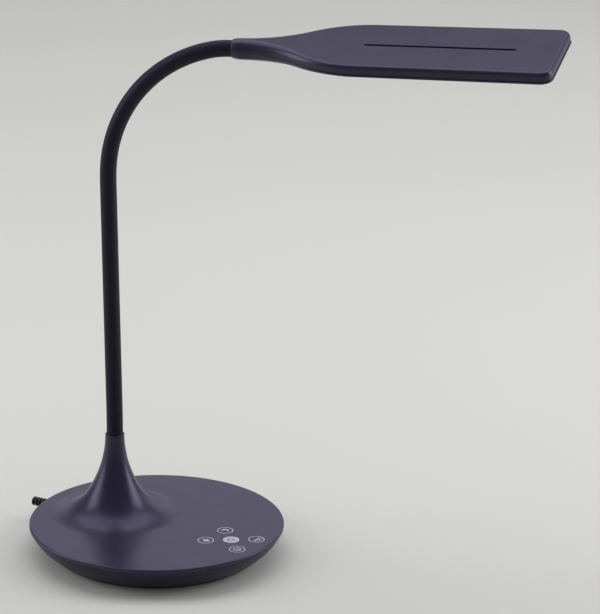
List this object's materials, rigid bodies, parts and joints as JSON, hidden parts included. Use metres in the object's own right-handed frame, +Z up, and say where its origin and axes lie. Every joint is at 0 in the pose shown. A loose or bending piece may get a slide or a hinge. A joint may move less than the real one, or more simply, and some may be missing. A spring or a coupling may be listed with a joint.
{
  "type": "gooseneck desk lamp",
  "caption": "Gooseneck desk lamp with a round weighted base, flared stem, flexible sleeved neck and a flat rectangular light head; touch keys on the base.",
  "frame": {"origin": "centre of the round base's underside, on the table", "axes": "+Z up; +X from the base's middle towards the touch keys, with the stem behind it on -X; +Y to the left of someone who looks along +X"},
  "size_m": [0.4266, 0.2391, 0.4391],
  "materials": {
    "housing": "fine satin moulding",
    "housing_dark": "fine satin moulding",
    "sleeve": "smooth matt silicone",
    "pad": "fine-grained rubber",
    "ballast": "plain mill finish",
    "steel": "bright zinc",
    "brass": "turned",
    "print": "pale print",
    "contact": "conductive foam",
    "board": "green solder mask",
    "chips": "moulded",
    "wire_red": "thin insulation",
    "wire_white": "thin insulation",
    "relief": "matt moulding",
    "diffuser": "fine opal",
    "guide": "polished acrylic",
    "reflector": "white film",
    "aluminium": "black anodised sheet",
    "strip": "white circuit",
    "led": "phosphor"
  },
  "bodies": {
    "base": {"base_cover": "housing", "base_tray": "housing_dark", "ballast_plate": "ballast", "foot_pad": "pad", "case_screws": "steel", "ballast_screws": "steel", "control_marks": "print", "touch_pads": "contact", "touch_board": "board", "board_parts": "chips", "board_screws": "steel", "strain_relief": "relief", "supply_wires": "wire_red", "neck_bushing": "brass", "neck_wires": "wire_white"},
    "neck_1": {"neck_sleeve_1": "sleeve", "neck_core_1": "steel", "neck_root_nut": "steel"},
    "neck_2": {"neck_sleeve_2": "sleeve", "neck_core_2": "steel"},
    "neck_3": {"neck_sleeve_3": "sleeve", "neck_core_3": "steel"},
    "neck_4": {"neck_sleeve_4": "sleeve", "neck_core_4": "steel"},
    "neck_5": {"neck_sleeve_5": "sleeve", "neck_core_5": "steel"},
    "neck_6": {"neck_sleeve_6": "sleeve", "neck_core_6": "steel"},
    "neck_7": {"neck_sleeve_7": "sleeve", "neck_core_7": "steel"},
    "neck_8": {"neck_sleeve_8": "sleeve", "neck_core_8": "steel"},
    "neck_9": {"neck_sleeve_9": "sleeve", "neck_core_9": "steel"},
    "neck_10": {"neck_sleeve_10": "sleeve", "neck_core_10": "steel"},
    "neck_11": {"neck_sleeve_11": "sleeve", "neck_core_11": "steel"},
    "neck_12": {"neck_sleeve_12": "sleeve", "neck_core_12": "steel"},
    "neck_13": {"neck_sleeve_13": "sleeve", "neck_core_13": "steel", "head_nut": "steel"},
    "head": {"head_shell": "housing", "head_frame": "housing", "diffuser": "diffuser", "light_guide": "guide", "reflector_sheet": "reflector", "led_strips": "strip", "leds": "led", "heat_plate": "aluminium", "head_screws": "steel", "head_wires": "wire_white"}
  },
  "joints": [
    {"name": "neck_swivel", "type": "hinge", "parent": "base", "child": "neck_1", "pos_m": [-0.04, 0, 0.0902], "axis": [0, 0, 1], "range_deg": [-75, 75]},
    {"name": "neck_lean", "type": "hinge", "parent": "neck_1", "child": "neck_2", "pos_m": [-0.04, 0, 0.1042], "axis": [-0.2874, 0.9578, 0], "range_deg": [-8, 10]},
    {"name": "neck_sway", "type": "hinge", "parent": "neck_2", "child": "neck_3", "pos_m": [-0.04083, -0.00025, 0.14369], "axis": [0.9578, 0.2874, 0], "range_deg": [-14, 14]},
    {"name": "neck_lean_2", "type": "hinge", "parent": "neck_3", "child": "neck_4", "pos_m": [-0.04165, -0.0005, 0.18318], "axis": [-0.2874, 0.9578, 0], "range_deg": [-8, 10]},
    {"name": "neck_sway_2", "type": "hinge", "parent": "neck_4", "child": "neck_5", "pos_m": [-0.04248, -0.00074, 0.22267], "axis": [0.9578, 0.2874, 0], "range_deg": [-14, 14]},
    {"name": "neck_lean_3", "type": "hinge", "parent": "neck_5", "child": "neck_6", "pos_m": [-0.0433, -0.00099, 0.26216], "axis": [-0.2874, 0.9578, 0], "range_deg": [-8, 10]},
    {"name": "neck_curl", "type": "hinge", "parent": "neck_6", "child": "neck_7", "pos_m": [-0.04413, -0.00124, 0.30165], "axis": [-0.2874, 0.9578, 0], "range_deg": [-6, 4.5]},
    {"name": "neck_curl_2", "type": "hinge", "parent": "neck_7", "child": "neck_8", "pos_m": [-0.04173, -0.00052, 0.32767], "axis": [-0.2874, 0.9578, 0], "range_deg": [-6, 4.5]},
    {"name": "neck_curl_3", "type": "hinge", "parent": "neck_8", "child": "neck_9", "pos_m": [-0.03358, 0.00193, 0.35239], "axis": [-0.2874, 0.9578, 0], "range_deg": [-6, 4.5]},
    {"name": "neck_curl_4", "type": "hinge", "parent": "neck_9", "child": "neck_10", "pos_m": [-0.02012, 0.00596, 0.37443], "axis": [-0.2874, 0.9578, 0], "range_deg": [-6, 4.5]},
    {"name": "neck_curl_5", "type": "hinge", "parent": "neck_10", "child": "neck_11", "pos_m": [-0.00211, 0.01137, 0.39259], "axis": [-0.2874, 0.9578, 0], "range_deg": [-6, 4.5]},
    {"name": "neck_curl_6", "type": "hinge", "parent": "neck_11", "child": "neck_12", "pos_m": [0.01946, 0.01784, 0.40586], "axis": [-0.2874, 0.9578, 0], "range_deg": [-6, 4.5]},
    {"name": "neck_curl_7", "type": "hinge", "parent": "neck_12", "child": "neck_13", "pos_m": [0.0434, 0.02502, 0.4135], "axis": [-0.2874, 0.9578, 0], "range_deg": [-6, 4.5]},
    {"name": "head_twist", "type": "hinge", "parent": "neck_13", "child": "head", "pos_m": [0.0523, 0.02769, 0.41395], "axis": [0.9567, 0.287, 0.0488], "range_deg": [-60, 60]}
  ],
  "couplings": [
    {"joint": "neck_lean_2", "follows": "neck_lean", "ratio": 1},
    {"joint": "neck_sway_2", "follows": "neck_sway", "ratio": 1},
    {"joint": "neck_lean_3", "follows": "neck_lean", "ratio": 1},
    {"joint": "neck_curl_2", "follows": "neck_curl", "ratio": 1},
    {"joint": "neck_curl_3", "follows": "neck_curl", "ratio": 1},
    {"joint": "neck_curl_4", "follows": "neck_curl", "ratio": 1},
    {"joint": "neck_curl_5", "follows": "neck_curl", "ratio": 1},
    {"joint": "neck_curl_6", "follows": "neck_curl", "ratio": 1},
    {"joint": "neck_curl_7", "follows": "neck_curl", "ratio": 1}
  ]
}
